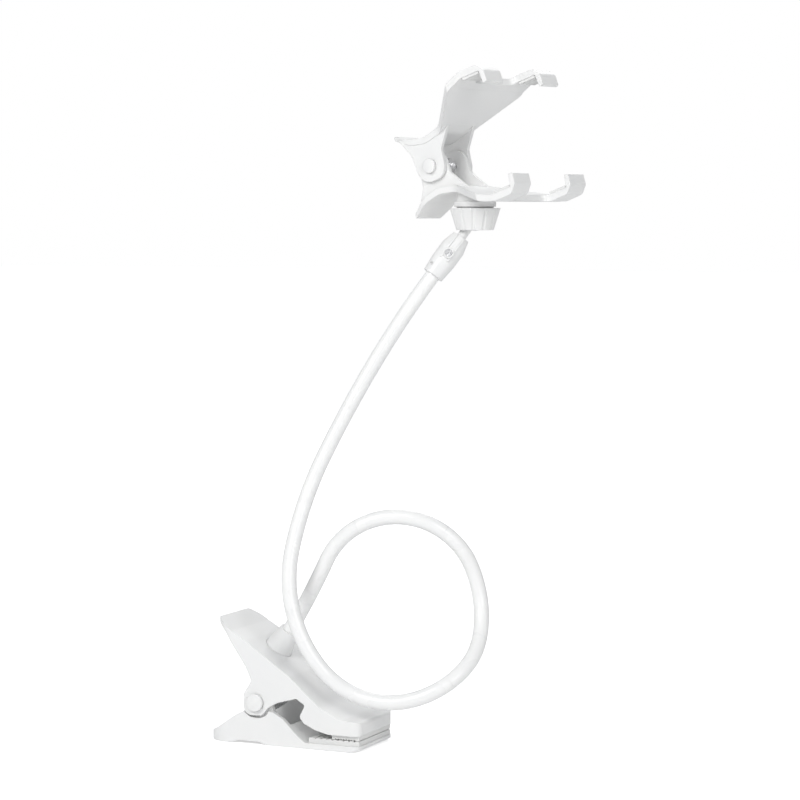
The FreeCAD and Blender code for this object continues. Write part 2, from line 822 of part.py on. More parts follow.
CUP_RADIUS = "[ball_radius] + [cup_wall]"
BOSS_BORE = "[ball_radius] + [cup_wall] + [running_gap]"
BOSS_RADIUS = "[ball_radius] + [cup_wall] + [running_gap] + [socket_wall]"
NUT_BORE = "[ball_radius] + [cup_wall] + 2 * [running_gap] + [socket_wall]"
cup = cut(
    "ball_seat",
    cylinder("seat_block", CUP_RADIUS, "[ball_radius] + 1.5", in_socket(-0.5)),
    [ball("seat_hollow", "[ball_radius] + [running_gap]", Placement(BALL, Rotation()))],
)
node("ball_seat", cup)

NUT_FOOT = -7.0
OPENING_DROP = -3.8
opening = math.sqrt((size("ball_radius") + RUNNING) ** 2 - OPENING_DROP**2)
nut_tools = [
    cylinder("nut_bore", NUT_BORE, "2 * [nut_height]", in_socket(-1.0)),
    ball("nut_hollow", "[ball_radius] + [running_gap]", Placement(BALL, Rotation())),
    cone("nut_opening", f"{opening + 3.2}", f"{opening}", "3.4", in_socket(OPENING_DROP - 3.4)),
]
slant = Vector(size("nut_top_radius") - size("nut_foot_radius"), 0, size("nut_height"))
for i in range(12):
    spoke = Placement(Vector(), Rotation(Z_AXIS, 30.0 * i))
    start = Vector(size("nut_foot_radius") + 0.9, 0, NUT_FOOT) - slant * 0.1
    nut_tools.append(
        cylinder(f"nut_groove_{i + 1}", "1.4", "1.4 * [nut_height]", SOCKET * spoke * upright(start, slant))
    )
nut = cut(
    "lock_nut",
    cone("nut_outside", "[nut_foot_radius]", "[nut_top_radius]", "[nut_height]", in_socket(NUT_FOOT)),
    nut_tools,
)
node("lock_nut", nut)

# ---------------------------------------------------------------------------
# Phone clip: two forked jaws with paddles, on a pin, closed by a coil spring
# ---------------------------------------------------------------------------

CLIP_PIVOT = (-size("clip_depth"), 0.0)
CLIP_EAR = size("clip_ear_radius")
GRIP = HALF_GAP + size("grip_pad_thickness")


def jaw_outline(side):
    """A jaw's side view. side is 1 for the upper jaw and -1 for the lower."""
    points = [
        clip_point(-79.0, 26.2, 0.8),
        clip_point(-66.0, 19.4, 10.0),
        clip_point(-56.0, 17.6, 12.0),
        clip_point(-45.0, 20.0, 12.0),
        clip_point(-14.0, 36.6, 10.0),
        (clip_point(-5.0, 0)[0], GRIP + 4.2, 5.0),
        (clip_point(6.5, 0)[0], GRIP + 3.8, 4.0),
        (clip_point(10.6, 0)[0], GRIP - 1.0, 3.0),
        (clip_point(10.8, 0)[0], GRIP - 7.4, 0.8),
        (clip_point(8.0, 0)[0], GRIP - 7.8, 0.8),
        (clip_point(7.2, 0)[0], GRIP, 0.8),
        (clip_point(-6.0, 0)[0], GRIP, 2.0),
        clip_point(-14.0, 32.2, 6.0),
        clip_point(-44.0, 16.0, 10.0),
        clip_point(-56.0, 13.8, 12.0),
        clip_point(-66.0, 15.8, 10.0),
        clip_point(-78.0, 22.6, 0.8),
    ]
    return [(x, side * z, corner) for x, z, corner in points]


def flange_outline(side):
    """A jaw's side flange with its ear round the pin."""
    x, ear = CLIP_PIVOT[0], CLIP_EAR
    points = [
        clip_point(-75.0, 22.6),
        clip_point(-68.0, 10.0, 5.0),
        (x - ear, -ear, 0.97 * ear),
        (x + ear, -ear, 0.97 * ear),
        (x + 1.15 * ear, 0.8 * ear, 4.0),
        clip_point(-36.0, 21.6),
        clip_point(-44.0, 17.6),
        clip_point(-56.0, 15.4),
        clip_point(-66.0, 17.4),
    ]
    return [(p[0], side * p[1], *(p[2:])) for p in points]


def flange_space(side):
    """What is taken out between the flanges, short of the jaw's plate."""
    points = [
        clip_point(-80.0, 23.8),
        clip_point(-66.0, 15.8, 10.0),
        clip_point(-56.0, 13.8, 12.0),
        clip_point(-44.0, 16.0, 10.0),
        clip_point(-32.0, 22.4),
        (clip_point(-32.0, 0)[0], -2.0 * CLIP_EAR),
        (clip_point(-80.0, 0)[0], -2.0 * CLIP_EAR),
    ]
    return [(p[0], side * p[1], *(p[2:])) for p in points]


def jaw_body(name, side, flange_width, space_width):
    """A jaw's plate, forked at the front, with its flanges."""
    body = new_body(name + "_body", CLIP)
    pad(body, name + "_plate", "XZ_Plane", jaw_outline(side), "[jaw_width]")
    half, paddle = size("jaw_width") / 2, size("paddle_width") / 2
    finger = size("finger_width")
    for way, word in ((1, "left"), (-1, "right")):
        trim = [
            (-95.0 * DEPTH, way * (half + 9)),
            (-95.0 * DEPTH, way * (paddle - 3)),
            (-78.0 * DEPTH, way * (paddle - 3), 3.0),
            (-70.0 * DEPTH, way * paddle, 8.0),
            (-44.0 * DEPTH, way * paddle, 10.0),
            (-17.0 * DEPTH, way * (half + 0.05)),
            (-17.0 * DEPTH, way * (half + 9)),
        ]
        pocket(body, f"{name}_trim_{word}", "XY_Plane", trim, "4 * [grip_gap]")
    inner = half - finger
    fork = [
        (-9.0 * DEPTH, -inner, 4.0),
        (-9.0 * DEPTH, inner, 4.0),
        (20.0, inner),
        (20.0, -inner),
    ]
    pocket(body, name + "_fork", "XY_Plane", fork, "4 * [grip_gap]")
    pad(body, name + "_flanges", "XZ_Plane", flange_outline(side), flange_width)
    pocket(body, name + "_space", "XZ_Plane", flange_space(side), space_width)
    return body


def clip_across(half_width):
    """A placement at the -Y end of the clip's pin."""
    return CLIP * frame(Vector(CLIP_PIVOT[0], -half_width, CLIP_PIVOT[1]), X_AXIS, -Z_AXIS)


PADDLE_HALF = size("paddle_width") / 2
upper_flange = "[paddle_width] - 2 * [side_gap]"
upper_space = "[paddle_width] - 2 * [side_gap] - 2 * [clip_wall]"
lower_flange = "[paddle_width] - 4 * [side_gap] - 2 * [clip_wall]"
lower_space = "[paddle_width] - 4 * [side_gap] - 4 * [clip_wall]"
upper_jaw_body = jaw_body("upper_jaw", 1, upper_flange, upper_space)
lower_jaw_body = jaw_body("lower_jaw", -1, lower_flange, lower_space)
upper_jaw_hole = cylinder(
    "upper_jaw_hole",
    "[clip_pin_radius] + [running_gap]",
    "[paddle_width] + 4",
    clip_across(PADDLE_HALF + 2),
)
lower_jaw_hole = cylinder(
    "lower_jaw_hole", "[clip_pin_radius]", "[paddle_width] + 4", clip_across(PADDLE_HALF + 2)
)
node("upper_jaw", cut("upper_jaw", upper_jaw_body, [upper_jaw_hole]))
NUT_TOP = NUT_FOOT + size("nut_height")
boss = cylinder("socket_boss", BOSS_RADIUS, "17", in_socket(-0.9))
boss_flange = cylinder("socket_flange", "[nut_top_radius] - 2.6", "3", in_socket(NUT_TOP + 0.8))
boss_bore = cylinder("socket_bore", BOSS_BORE, "[ball_radius] + 3.2", in_socket(-2.0))
node(
    "lower_jaw",
    cut(
        "lower_jaw",
        fuse("lower_jaw_whole", [lower_jaw_body, boss, boss_flange]),
        [lower_jaw_hole, boss_bore],
    ),
)

clip_pin_half = PADDLE_HALF - size("side_gap")
clip_pin = cylinder(
    "clip_pin_shank", "[clip_pin_radius]", "[paddle_width] - 2 * [side_gap] + 2", clip_across(clip_pin_half)
)
clip_pin_neck = cylinder("clip_pin_neck", "[clip_pin_radius]", "1", clip_across(clip_pin_half + 0.5))
clip_pin_head = cylinder(
    "clip_pin_head", "1.8 * [clip_pin_radius]", "1", clip_across(clip_pin_half + 1.1)
)
node("clip_pin", fuse("clip_pin", [clip_pin, clip_pin_neck, clip_pin_head]))
clip_cap = cylinder("clip_cap_body", "1.8 * [clip_pin_radius]", "1.5", clip_across(-clip_pin_half - 0.1))
clip_cap_tool = cylinder(
    "clip_cap_tool", "[clip_pin_radius]", "[paddle_width] - 2 * [side_gap] + 2", clip_across(clip_pin_half)
)
node("clip_pin_cap", cut("clip_pin_cap", clip_cap, [clip_cap_tool]))

CLIP_COIL_HALF = size("clip_coil_turns") * (2 * size("clip_wire_radius") + 0.1) / 2
node(
    "clip_spring",
    torsion_spring(
        "clip_spring",
        "clip_wire_radius",
        "clip_coil_radius",
        int(size("clip_coil_turns")),
        CLIP * spring_place(CLIP_PIVOT, 219.0, CLIP_COIL_HALF),
        102.0,
        15.0 * DEPTH,
        15.0 * DEPTH,
    ),
)


def grip_pads(name, side):
    """The rubber pads in a jaw's two fingers."""
    finger = size("finger_width")
    half = size("jaw_width") / 2
    low = HALF_GAP if side > 0 else -GRIP
    boxes = []
    for word, y in (("right", -half + 0.5), ("left", half - finger + 0.5)):
        corner = CLIP * Placement(Vector(-5.0 * DEPTH, y, low), Rotation())
        boxes.append(
            box(f"{name}_{word}", f"{11.6 * DEPTH}", "[finger_width] - 1", "[grip_pad_thickness]", corner)
        )
    return fuse(name, boxes)


node("upper_grip_pads", grip_pads("upper_grip_pads", 1))
node("lower_grip_pads", grip_pads("lower_grip_pads", -1))

# ---------------------------------------------------------------------------
# Check and write
# ---------------------------------------------------------------------------

doc.recompute()
for thing in doc.Objects:
    if "Invalid" in thing.State or "Error" in thing.State:
        raise RuntimeError(f"{thing.Name} did not build: {thing.State}")
os.makedirs("parts", exist_ok=True)
for name, thing in NODES.items():
    shape = thing.Shape
    if shape.isNull() or not shape.isValid() or shape.Volume < 0.5:
        raise RuntimeError(f"{name} has no valid shape")
    shape.exportStep(f"parts/{name}.step")
    print(f"{name}: {shape.Volume / 1000.0:.2f} cm3, {len(shape.Solids)} solid(s)")
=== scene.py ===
"""A phone stand: a sprung table clamp, a looped gooseneck and a sprung phone clip on a ball joint."""

import json
import logging
import math
from dataclasses import dataclass, field
from enum import Enum
from typing import Any, Iterable, Sequence

import bmesh
import bpy
from mathutils import Matrix, Quaternion, Vector

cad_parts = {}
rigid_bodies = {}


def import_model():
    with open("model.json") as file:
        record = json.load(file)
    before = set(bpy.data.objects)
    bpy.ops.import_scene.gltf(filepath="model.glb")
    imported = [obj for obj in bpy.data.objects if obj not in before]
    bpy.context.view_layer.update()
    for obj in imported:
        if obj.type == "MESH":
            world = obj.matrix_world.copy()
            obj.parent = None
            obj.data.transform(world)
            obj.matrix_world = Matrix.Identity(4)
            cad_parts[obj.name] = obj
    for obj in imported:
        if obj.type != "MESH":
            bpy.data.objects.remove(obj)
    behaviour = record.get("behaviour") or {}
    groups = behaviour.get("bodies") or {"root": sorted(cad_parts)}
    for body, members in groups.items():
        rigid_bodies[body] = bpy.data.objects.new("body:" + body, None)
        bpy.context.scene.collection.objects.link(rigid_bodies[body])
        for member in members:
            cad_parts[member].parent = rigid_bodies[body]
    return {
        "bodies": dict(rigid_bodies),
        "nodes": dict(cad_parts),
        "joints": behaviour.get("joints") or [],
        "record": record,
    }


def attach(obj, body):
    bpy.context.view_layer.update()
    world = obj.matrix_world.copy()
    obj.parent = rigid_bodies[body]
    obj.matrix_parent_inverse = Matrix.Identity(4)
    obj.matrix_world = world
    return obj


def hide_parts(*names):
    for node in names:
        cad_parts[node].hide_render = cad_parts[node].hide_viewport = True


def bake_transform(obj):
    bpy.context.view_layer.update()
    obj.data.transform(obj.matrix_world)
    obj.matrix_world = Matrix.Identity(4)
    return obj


logging.basicConfig(level=logging.INFO, format="%(message)s")
LOG = logging.getLogger("phone_stand")
MM = 0.001
SIDES = (("right", -1.0), ("left", 1.0))


class Finish(Enum):
    """The record's material slots."""

    PLASTIC = "white_plastic"
    SLEEVE = "neck_sleeve"
    CORE = "neck_core"
    STEEL = "bright_steel"
    PAD = "soft_pad"
    CUP = "cup_nylon"


# ---------------------------------------------------------------------------
# Finishes
# ---------------------------------------------------------------------------


def new_group(name: str, inputs: dict[str, tuple[str, Any]], outputs: dict[str, str]) -> bpy.types.NodeTree:
    """Makes an empty shader group.

    Args:
        name: The group's name.
        inputs: Socket name to (socket type, default value).
        outputs: Socket name to socket type.

    Returns:
        The group, with its input and output nodes in place.
    """
    tree = bpy.data.node_groups.new(name, "ShaderNodeTree")
    for label, (kind, value) in inputs.items():
        socket = tree.interface.new_socket(name=label, in_out="INPUT", socket_type=kind)
        socket.default_value = value
    for label, kind in outputs.items():
        tree.interface.new_socket(name=label, in_out="OUTPUT", socket_type=kind)
    tree.nodes.new("NodeGroupInput").name = "in"
    tree.nodes.new("NodeGroupOutput").name = "out"
    return tree


def moulding_group() -> bpy.types.NodeTree:
    """Builds the group for moulded plastic: slow flow marks in tone and gloss, and a fine grained height.

    Returns:
        A group with Tone, Flow Scale, Grain Scale, Gloss Low and Gloss High in, and Color, Roughness and
        Height out.
    """
    tree = new_group(
        "moulded_surface",
        {
            "Tone": ("NodeSocketColor", (0.8, 0.8, 0.8, 1.0)),
            "Flow Scale": ("NodeSocketFloat", 30.0),
            "Grain Scale": ("NodeSocketFloat", 1500.0),
            "Gloss Low": ("NodeSocketFloat", 0.3),
            "Gloss High": ("NodeSocketFloat", 0.45),
        },
        {"Color": "NodeSocketColor", "Roughness": "NodeSocketFloat", "Height": "NodeSocketFloat"},
    )
    nodes, links = tree.nodes, tree.links
    source, sink = nodes["in"], nodes["out"]
    place = nodes.new("ShaderNodeTexCoord")
    flow = nodes.new("ShaderNodeTexNoise")
    flow.inputs["Detail"].default_value = 4.0
    flow.inputs["Distortion"].default_value = 0.6
    grain = nodes.new("ShaderNodeTexNoise")
    grain.inputs["Detail"].default_value = 2.0
    dust = nodes.new("ShaderNodeTexVoronoi")
    dust.inputs["Scale"].default_value = 420.0
    links.new(place.outputs["Object"], flow.inputs["Vector"])
    links.new(place.outputs["Object"], grain.inputs["Vector"])
    links.new(place.outputs["Object"], dust.inputs["Vector"])
    links.new(source.outputs["Flow Scale"], flow.inputs["Scale"])
    links.new(source.outputs["Grain Scale"], grain.inputs["Scale"])
    shade = nodes.new("ShaderNodeMix")
    shade.data_type = "RGBA"
    shade.blend_type = "MULTIPLY"
    ramp = nodes.new("ShaderNodeValToRGB")
    ramp.color_ramp.elements[0].position = 0.3
    ramp.color_ramp.elements[0].color = (0.968, 0.970, 0.974, 1.0)
    ramp.color_ramp.elements[1].position = 0.7
    ramp.color_ramp.elements[1].color = (1.0, 0.998, 0.994, 1.0)
    links.new(flow.outputs["Fac"], ramp.inputs["Fac"])
    shade.inputs["Factor"].default_value = 1.0
    links.new(source.outputs["Tone"], shade.inputs["A"])
    links.new(ramp.outputs["Color"], shade.inputs["B"])
    speck = nodes.new("ShaderNodeMapRange")
    speck.inputs["From Min"].default_value = 0.0
    speck.inputs["From Max"].default_value = 0.12
    speck.inputs["To Min"].default_value = 0.93
    speck.inputs["To Max"].default_value = 1.0
    links.new(dust.outputs["Distance"], speck.inputs["Value"])
    dusty = nodes.new("ShaderNodeMix")
    dusty.data_type = "RGBA"
    dusty.blend_type = "MULTIPLY"
    dusty.inputs["Factor"].default_value = 0.12
    links.new(shade.outputs["Result"], dusty.inputs["A"])
    links.new(speck.outputs["Result"], dusty.inputs["B"])
    links.new(dusty.outputs["Result"], sink.inputs["Color"])
    gloss = nodes.new("ShaderNodeMapRange")
    gloss.inputs["From Min"].default_value = 0.3
    gloss.inputs["From Max"].default_value = 0.7
    links.new(flow.outputs["Fac"], gloss.inputs["Value"])
    links.new(source.outputs["Gloss Low"], gloss.inputs["To Min"])
    links.new(source.outputs["Gloss High"], gloss.inputs["To Max"])
    links.new(gloss.outputs["Result"], sink.inputs["Roughness"])
    links.new(grain.outputs["Fac"], sink.inputs["Height"])
    return tree


def edge_group() -> bpy.types.NodeTree:
    """Builds the group that finds edges, from how far a rounded normal leans away from the flat one.

    Returns:
        A group with Rounded in and Mask out.
    """
    tree = new_group(
        "edge_mask", {"Rounded": ("NodeSocketVector", (0.0, 0.0, 0.0))}, {"Mask": "NodeSocketFloat"}
    )
    nodes, links = tree.nodes, tree.links
    flat = nodes.new("ShaderNodeNewGeometry")
    dot = nodes.new("ShaderNodeVectorMath")
    dot.operation = "DOT_PRODUCT"
    links.new(nodes["in"].outputs["Rounded"], dot.inputs[0])
    links.new(flat.outputs["Normal"], dot.inputs[1])
    reach = nodes.new("ShaderNodeMapRange")
    reach.inputs["From Min"].default_value = 0.99
    reach.inputs["From Max"].default_value = 0.86
    reach.inputs["To Min"].default_value = 0.0
    reach.inputs["To Max"].default_value = 1.0
    links.new(dot.outputs["Value"], reach.inputs["Value"])
    links.new(reach.outputs["Result"], nodes["out"].inputs["Mask"])
    return tree


@dataclass(frozen=True)
class SurfaceFinish:
    """One finish: its tone and how its surface varies."""

    name: str
    tone: tuple[float, float, float]
    gloss: tuple[float, float]
    flow_scale: float
    grain_scale: float
    grain_depth: float
    edge_radius: float
    # How much lighter the painted edge highlight makes the tone.
    edge_highlight_tone: float = 1.04
    metallic: float = 0.0
    specular: float = 0.5
    subsurface: float = 0.0
    brushed: bool = False

    def build(self, moulding: bpy.types.NodeTree, edges: bpy.types.NodeTree) -> bpy.types.Material:
        """Builds the material.

        Args:
            moulding: The group for the surface's variation.
            edges: The group that finds edges.

        Returns:
            The material, ready to be put in a slot.
        """
        material = bpy.data.materials.new(self.name)
        material.use_nodes = True
        nodes, links = material.node_tree.nodes, material.node_tree.links
        shader = nodes["Principled BSDF"]
        shader.inputs["Metallic"].default_value = self.metallic
        shader.inputs["Specular IOR Level"].default_value = self.specular
        if self.subsurface:
            shader.inputs["Subsurface Weight"].default_value = self.subsurface
            shader.inputs["Subsurface Radius"].default_value = (0.002, 0.002, 0.0018)
            shader.inputs["Subsurface Scale"].default_value = 1.0
        surface = nodes.new("ShaderNodeGroup")
        surface.node_tree = moulding
        surface.inputs["Tone"].default_value = (*self.tone, 1.0)
        surface.inputs["Flow Scale"].default_value = self.flow_scale
        surface.inputs["Grain Scale"].default_value = self.grain_scale
        surface.inputs["Gloss Low"].default_value = self.gloss[0]
        surface.inputs["Gloss High"].default_value = self.gloss[1]
        soft = nodes.new("ShaderNodeBevel")
        soft.samples = 6
        soft.inputs["Radius"].default_value = self.edge_radius
        edge = nodes.new("ShaderNodeGroup")
        edge.node_tree = edges
        links.new(soft.outputs["Normal"], edge.inputs["Rounded"])
        # Painted highlight: the colour is lightened along rounded edges, where the edge mask finds them.
        painted_edge_highlight = nodes.new("ShaderNodeMix")
        painted_edge_highlight.data_type = "RGBA"
        bright = [min(1.0, c * self.edge_highlight_tone) for c in self.tone]
        painted_edge_highlight.inputs["B"].default_value = (*bright, 1.0)
        links.new(edge.outputs["Mask"], painted_edge_highlight.inputs["Factor"])
        links.new(surface.outputs["Color"], painted_edge_highlight.inputs["A"])
        links.new(painted_edge_highlight.outputs["Result"], shader.inputs["Base Color"])
        links.new(surface.outputs["Roughness"], shader.inputs["Roughness"])
        bump = nodes.new("ShaderNodeBump")
        bump.inputs["Strength"].default_value = 0.5
        bump.inputs["Distance"].default_value = self.grain_depth
        height = surface.outputs["Height"]
        if self.brushed:
            height = self.brushing(nodes, links, height)
        links.new(height, bump.inputs["Height"])
        links.new(soft.outputs["Normal"], bump.inputs["Normal"])
        links.new(bump.outputs["Normal"], shader.inputs["Normal"])
        return material

    @staticmethod
    def brushing(nodes: Any, links: Any, height: Any) -> Any:
        """Adds fine turned lines to a height.

        Args:
            nodes: The material's nodes.
            links: The material's links.
            height: The height so far.

        Returns:
            The height with the lines in it.
        """
        place = nodes.new("ShaderNodeTexCoord")
        lines = nodes.new("ShaderNodeTexWave")
        lines.bands_direction = "Y"
        lines.inputs["Scale"].default_value = 900.0
        lines.inputs["Distortion"].default_value = 3.0
        links.new(place.outputs["Object"], lines.inputs["Vector"])
        both = nodes.new("ShaderNodeMath")
        both.operation = "ADD"
        links.new(lines.outputs["Fac"], both.inputs[0])
        links.new(height, both.inputs[1])
        return both.outputs["Value"]


FINISHES: dict[Finish, SurfaceFinish] = {
    Finish.PLASTIC: SurfaceFinish(
        "white_moulded_plastic", (0.80, 0.80, 0.795), (0.28, 0.40), 22.0, 1600.0, 0.00002, 0.0007,
        subsurface=0.05,
    ),
    Finish.SLEEVE: SurfaceFinish(
        "white_neck_sleeve", (0.84, 0.84, 0.835), (0.20, 0.34), 34.0, 700.0, 0.00003, 0.0002,
        subsurface=0.08,
    ),
    Finish.CORE: SurfaceFinish(
        "soft_core_wire", (0.62, 0.63, 0.65), (0.30, 0.45), 60.0, 1200.0, 0.00003, 0.0003, metallic=1.0,
        brushed=True,
    ),
    Finish.STEEL: SurfaceFinish(
        "bright_plated_steel", (0.66, 0.66, 0.67), (0.18, 0.34), 90.0, 1400.0, 0.00003, 0.0003,
        metallic=1.0, brushed=True,
    ),
    Finish.PAD: SurfaceFinish(
        "pale_soft_rubber", (0.74, 0.74, 0.73), (0.62, 0.80), 40.0, 2200.0, 0.00006, 0.0004, specular=0.3,
    ),
    Finish.CUP: SurfaceFinish(
        "natural_cup_plastic", (0.74, 0.73, 0.70), (0.40, 0.55), 30.0, 1500.0, 0.00003, 0.0004,
        subsurface=0.1,
    ),
}


@dataclass
class Paintbox:
    """Every material of the stand, and the way to put one on a piece."""

    materials: dict[Finish, bpy.types.Material] = field(default_factory=dict)

    def fill(self) -> None:
        """Builds every finish."""
        moulding, edges = moulding_group(), edge_group()
        for finish, surface in FINISHES.items():
            self.materials[finish] = surface.build(moulding, edges)

    def paint(self, piece: bpy.types.Object, finish: Finish) -> None:
        """Puts a finish on every face of a piece."""
        piece.data.materials.clear()
        piece.data.materials.append(self.materials[finish])

    def paint_nodes(self, frame: dict[str, Any]) -> None:
        """Puts each CAD node's own finish on it."""
        slots = {part["node"]: Finish(part["material_slot"]) for part in frame["record"]["subparts"]}
        for name, piece in frame["nodes"].items():
            for slot in piece.material_slots:
                slot.material = self.materials[slots[name]]
            if not piece.material_slots:
                piece.data.materials.append(self.materials[slots[name]])


# ---------------------------------------------------------------------------
# Node trees for what repeats or follows a path
# ---------------------------------------------------------------------------


def geometry_tree(name: str, inputs: Iterable[tuple[str, str, Any]]) -> bpy.types.NodeTree:
    """Makes an empty geometry tree with a Geometry input and output.

    Args:
        name: The tree's name.
        inputs: (name, socket type, default value) of each further input.

    Returns:
        The tree.
    """
    tree = bpy.data.node_groups.new(name, "GeometryNodeTree")
    tree.interface.new_socket(name="Geometry", in_out="INPUT", socket_type="NodeSocketGeometry")
    for label, kind, value in inputs:
        socket = tree.interface.new_socket(name=label, in_out="INPUT", socket_type=kind)
        if value is not None:
            socket.default_value = value
    tree.interface.new_socket(name="Geometry", in_out="OUTPUT", socket_type="NodeSocketGeometry")
    tree.nodes.new("NodeGroupInput").name = "in"
    tree.nodes.new("NodeGroupOutput").name = "out"
    return tree


def finish_tree(tree: bpy.types.NodeTree, shape: Any) -> None:
    """Ends a tree in smooth shading, real geometry and its material."""
    nodes, links = tree.nodes, tree.links
    smooth = nodes.new("GeometryNodeSetShadeSmooth")
    real = nodes.new("GeometryNodeRealizeInstances")
    paint = nodes.new("GeometryNodeSetMaterial")
    links.new(shape, smooth.inputs["Geometry"])
    links.new(smooth.outputs["Geometry"], real.inputs["Geometry"])
    links.new(real.outputs["Geometry"], paint.inputs["Geometry"])
    links.new(nodes["in"].outputs["Material"], paint.inputs["Material"])
    links.new(paint.outputs["Geometry"], nodes["out"].inputs["Geometry"])


def tube_tree() -> bpy.types.NodeTree:
    """Builds the tree that runs a round section along a path.

    Returns:
        A tree with Radius, Sides and Material in.
    """
    tree = geometry_tree(
        "tube_on_path",
        [
            ("Radius", "NodeSocketFloat", 0.0045),
            ("Sides", "NodeSocketInt", 32),
            ("Material", "NodeSocketMaterial", None),
        ],
    )
    nodes, links = tree.nodes, tree.links
    ring = nodes.new("GeometryNodeCurvePrimitiveCircle")
    links.new(nodes["in"].outputs["Sides"], ring.inputs["Resolution"])
    links.new(nodes["in"].outputs["Radius"], ring.inputs["Radius"])
    sweep = nodes.new("GeometryNodeCurveToMesh")
    sweep.inputs["Fill Caps"].default_value = True
    links.new(nodes["in"].outputs["Geometry"], sweep.inputs["Curve"])
    links.new(ring.outputs["Curve"], sweep.inputs["Profile Curve"])
    finish_tree(tree, sweep.outputs["Mesh"])
    return tree


def row_tree() -> bpy.types.NodeTree:
    """Builds the tree that repeats a piece in a straight row.

    Returns:
        A tree with Count, Step and Material in.
    """
    tree = geometry_tree(
        "row_of_ribs",
        [
            ("Count", "NodeSocketInt", 8),
            ("Step", "NodeSocketVector", (0.001, 0.0, 0.0)),
            ("Material", "NodeSocketMaterial", None),
        ],
    )
    nodes, links = tree.nodes, tree.links
    line = nodes.new("GeometryNodeMeshLine")
    links.new(nodes["in"].outputs["Count"], line.inputs["Count"])
    links.new(nodes["in"].outputs["Step"], line.inputs["Offset"])
    place = nodes.new("GeometryNodeInstanceOnPoints")
    links.new(line.outputs["Mesh"], place.inputs["Points"])
    links.new(nodes["in"].outputs["Geometry"], place.inputs["Instance"])
    finish_tree(tree, place.outputs["Instances"])
    return tree


def run_tree(source: bpy.types.Object, tree: bpy.types.NodeTree, values: dict[str, Any], name: str) -> Any:
    """Runs a tree on an object and keeps the result as a plain mesh piece.

    Args:
        source: The object that the tree starts from. It is removed.
        tree: The geometry tree.
        values: Input name to value.
        name: The new piece's name.

    Returns:
        The new piece.
    """
    modifier = source.modifiers.new("shape", "NODES")
    modifier.node_group = tree
    for item in tree.interface.items_tree:
        if item.in_out == "INPUT" and item.name in values:
            modifier[item.identifier] = values[item.name]
    source.update_tag()
    bpy.context.view_layer.update()
    graph = bpy.context.evaluated_depsgraph_get()
    mesh = bpy.data.meshes.new_from_object(source.evaluated_get(graph))
    source.modifiers.clear()
    piece = bpy.data.objects.new(name, mesh)
    bpy.context.scene.collection.objects.link(piece)
    bpy.data.objects.remove(source)
    return piece


# ---------------------------------------------------------------------------
# Small mesh helpers
# ---------------------------------------------------------------------------


@dataclass(frozen=True)
class Tube:
    """A round length of one material that follows a line of points."""

    radius: float
    sides: int
    finish: Finish

    def piece(self, name: str, points: Sequence[Vector], tree: bpy.types.NodeTree, paint: Paintbox) -> Any:
        """Makes the length along points.

        Args:
            name: The piece's name.
            points: The middle line.
            tree: The tree that runs a round section along a path.
            paint: The finishes.

        Returns:
            The piece.
        """
        line = bpy.data.curves.new(name + "_path", "CURVE")
        line.dimensions = "3D"
        spline = line.splines.new("POLY")
        spline.points.add(len(points) - 1)
        for slot, point in zip(spline.points, points):
            slot.co = (*point, 1.0)
        path = bpy.data.objects.new(name + "_path", line)
        bpy.context.scene.collection.objects.link(path)
        values = {"Radius": self.radius, "Sides": self.sides, "Material": paint.materials[self.finish]}
        piece = run_tree(path, tree, values, name)
        return piece


def mesh_piece(name: str, form: bmesh.types.BMesh) -> bpy.types.Object:
    """Makes a piece from a bmesh, its faces outwards and smooth, and frees the bmesh."""
    bmesh.ops.remove_doubles(form, verts=form.verts, dist=1e-7)
    bmesh.ops.recalc_face_normals(form, faces=form.faces)
    for face in form.faces:
        face.smooth = True
    mesh = bpy.data.meshes.new(name)
    form.to_mesh(mesh)
    form.free()
    piece = bpy.data.objects.new(name, mesh)
    bpy.context.scene.collection.objects.link(piece)
    return piece


def lathe(profile: Sequence[tuple[float, float]], place: Matrix, sides: int = 48) -> bmesh.types.BMesh:
    """Turns an outline about place's Z.

    Args:
        profile: (radius, height) points from the outline's one end to its other, in metres.
        place: Where the shape's own origin and axes go.
        sides: How many steps go round.

    Returns:
        The closed shape.
    """
    form = bmesh.new()
    rings: list[list[bmesh.types.BMVert]] = []
    for radius, height in profile:
        if radius < 1e-9:
            rings.append([form.verts.new(place @ Vector((0.0, 0.0, height)))])
            continue
        ring = []
        for i in range(sides):
            angle = 2.0 * math.pi * i / sides
            point = Vector((radius * math.cos(angle), radius * math.sin(angle), height))
            ring.append(form.verts.new(place @ point))
        rings.append(ring)
    for low, high in zip(rings, rings[1:]):
        for i in range(sides):
            j = (i + 1) % sides
            corners = [low[i % len(low)], low[j % len(low)], high[j % len(high)], high[i % len(high)]]
            unique = list(dict.fromkeys(corners))
            if len(unique) > 2:
                form.faces.new(unique)
    return form


def placed(origin: Vector, z: Vector, near: Vector) -> Matrix:
    """A matrix whose Z lies along z, with its X as close to near as it can be."""
    z = z.normalized()
    x = (near - z * z.dot(near)).normalized()
    y = z.cross(x)
    matrix = Matrix((x, y, z)).transposed().to_4x4()
    matrix.translation = origin
    return matrix


def joint_named(frame: dict[str, Any], name: str) -> dict[str, Any]:
    """The record's entry for a joint."""
    return next(j for j in frame["record"]["behaviour"]["joints"] if j["name"] == name)


# ---------------------------------------------------------------------------
# Gooseneck
# ---------------------------------------------------------------------------


